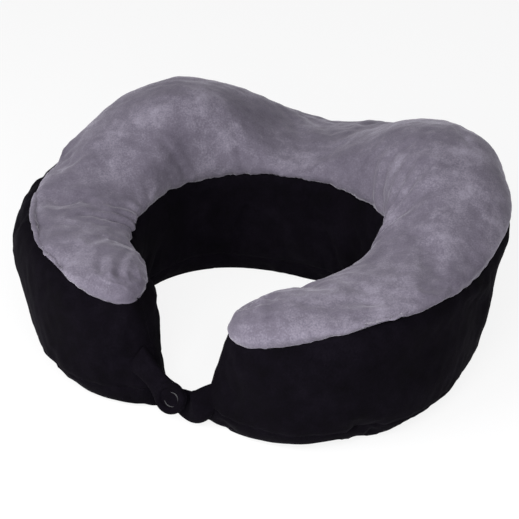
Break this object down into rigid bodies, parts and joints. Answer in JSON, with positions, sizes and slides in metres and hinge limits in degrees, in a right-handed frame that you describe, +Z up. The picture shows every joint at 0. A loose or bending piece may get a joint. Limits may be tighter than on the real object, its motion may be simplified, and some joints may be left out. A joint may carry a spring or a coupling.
{
  "type": "neck pillow",
  "caption": "U-shaped travel neck pillow: moulded foam core in a zipped two-tone velour cover, with raised lobes at the back and snap-fastened straps across the front.",
  "frame": {"origin": "on the floor, under the middle of the pillow's bounding box", "axes": "+Z up, the opening between the arms faces -Y, +X to the right of someone looking at the opening"},
  "size_m": [0.2831, 0.2537, 0.1201],
  "materials": {
    "grey_velour": "short-pile velour, mottled lilac grey",
    "black_velour": "short-pile velour, black",
    "memory_foam": "moulded slow-recovery foam, matt",
    "zip_tape": "woven polyester tape",
    "zip_coil": "nylon monofilament",
    "zip_slider_metal": "black enamelled die casting",
    "snap_plastic": "moulded, satin gloss"
  },
  "bodies": {
    "pillow": {"foam_core": "memory_foam", "top_panel": "grey_velour", "outer_side_panel": "black_velour", "inner_side_panel": "black_velour", "bottom_panel": "black_velour", "zipper_tape_upper": "zip_tape", "zipper_tape_lower": "zip_tape", "zipper_coil_upper": "zip_coil", "zipper_coil_lower": "zip_coil", "zipper_top_stops": "zip_coil", "zipper_bottom_stop": "zip_coil"},
    "slider": {"zipper_slider": "zip_slider_metal"},
    "pull": {"zipper_pull": "zip_slider_metal"},
    "left_strap": {"strap_left": "black_velour", "snap_cap": "snap_plastic", "snap_socket": "snap_plastic"},
    "right_strap": {"strap_right": "black_velour", "snap_stud": "snap_plastic", "snap_back_cap": "snap_plastic"}
  },
  "joints": [
    {"name": "zip_slide", "type": "hinge", "parent": "pillow", "child": "slider", "pos_m": [0, -0.01467, 0.014], "axis": [0, 0, 1], "range_deg": [0, 79], "deforming": ["zipper_coil_upper", "zipper_coil_lower"]},
    {"name": "pull_swing", "type": "hinge", "parent": "slider", "child": "pull", "pos_m": [0.08591, 0.08772, 0.01386], "axis": [-0.1336, -0.1593, -0.9781], "range_deg": [0, 170]},
    {"name": "left_strap_fold", "type": "hinge", "parent": "pillow", "child": "left_strap", "pos_m": [-0.02357, -0.11658, 0.03341], "axis": [-0.2717, -0.3291, -0.9044], "range_deg": [0, 90]},
    {"name": "right_strap_fold", "type": "hinge", "parent": "pillow", "child": "right_strap", "pos_m": [0.02038, -0.11328, 0.02583], "axis": [0.0814, -0.3409, -0.9366], "range_deg": [0, 45]}
  ]
}
